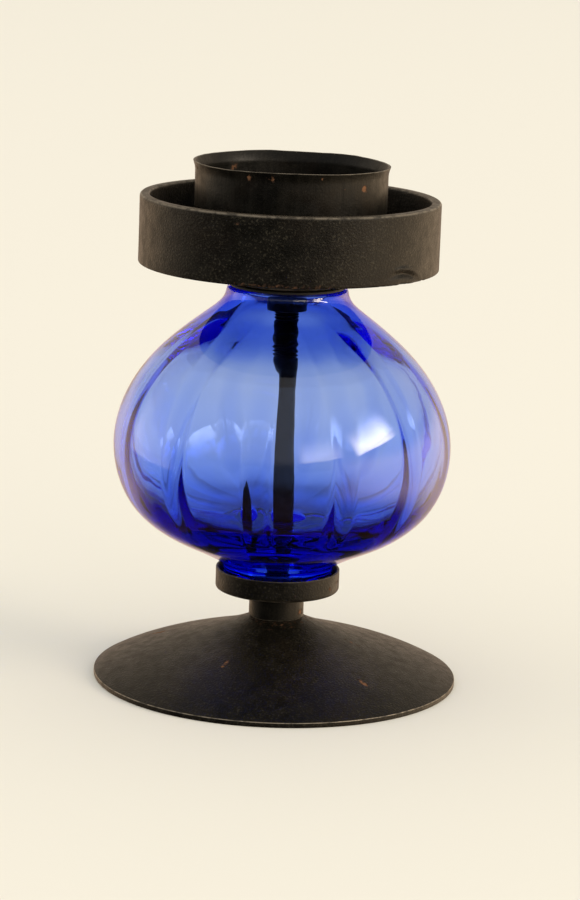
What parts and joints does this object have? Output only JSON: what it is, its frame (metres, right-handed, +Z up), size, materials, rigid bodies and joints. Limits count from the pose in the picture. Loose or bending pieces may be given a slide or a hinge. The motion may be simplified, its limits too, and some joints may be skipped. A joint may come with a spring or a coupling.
{
  "type": "glass candlestick",
  "caption": "Candlestick with a ribbed blue glass bulb on a spun black iron foot, a drip tray and a cup for a pillar candle.",
  "frame": {"origin": "centre of the foot's rim, on the surface that it stands on", "axes": "+Z up along the tie rod; -Y is the side that faces the viewer; +X to the viewer's right"},
  "size_m": [0.1024, 0.1024, 0.1466],
  "materials": {
    "black_iron": "matt black lacquer over iron, finely speckled, worn at the rims",
    "dark_steel": "blackened steel thread",
    "bright_steel": "zinc-plated steel, dulled",
    "blue_glass": "clear cobalt blue blown glass",
    "black_rubber": "matt black rubber"
  },
  "bodies": {
    "base": {"foot": "black_iron", "foot_nut": "bright_steel", "foot_washer": "bright_steel", "stem": "black_iron", "lower_collar": "black_iron", "collar_lock_nut": "bright_steel", "lower_seal": "black_rubber", "tie_rod": "dark_steel"},
    "glass": {"glass_bulb": "blue_glass"},
    "seal": {"upper_seal": "black_rubber"},
    "top": {"upper_collar": "black_iron", "drip_tray": "black_iron", "candle_cup": "black_iron", "cup_screw": "bright_steel"}
  },
  "joints": [
    {"name": "glass_turn", "type": "hinge", "parent": "base", "child": "glass", "pos_m": [0, 0, 0.0288], "axis": [0, 0, 1], "continuous": true},
    {"name": "top_rise", "type": "slide", "parent": "base", "child": "seal", "axis": [0, 0, 1], "range_m": [0, 0.008]},
    {"name": "top_turn", "type": "hinge", "parent": "seal", "child": "top", "pos_m": [0, 0, 0.1131], "axis": [0, 0, 1], "range_deg": [0, 2880]}
  ],
  "couplings": [
    {"joint": "top_rise", "follows": "top_turn", "m_per_rad": 0.00015915}
  ]
}
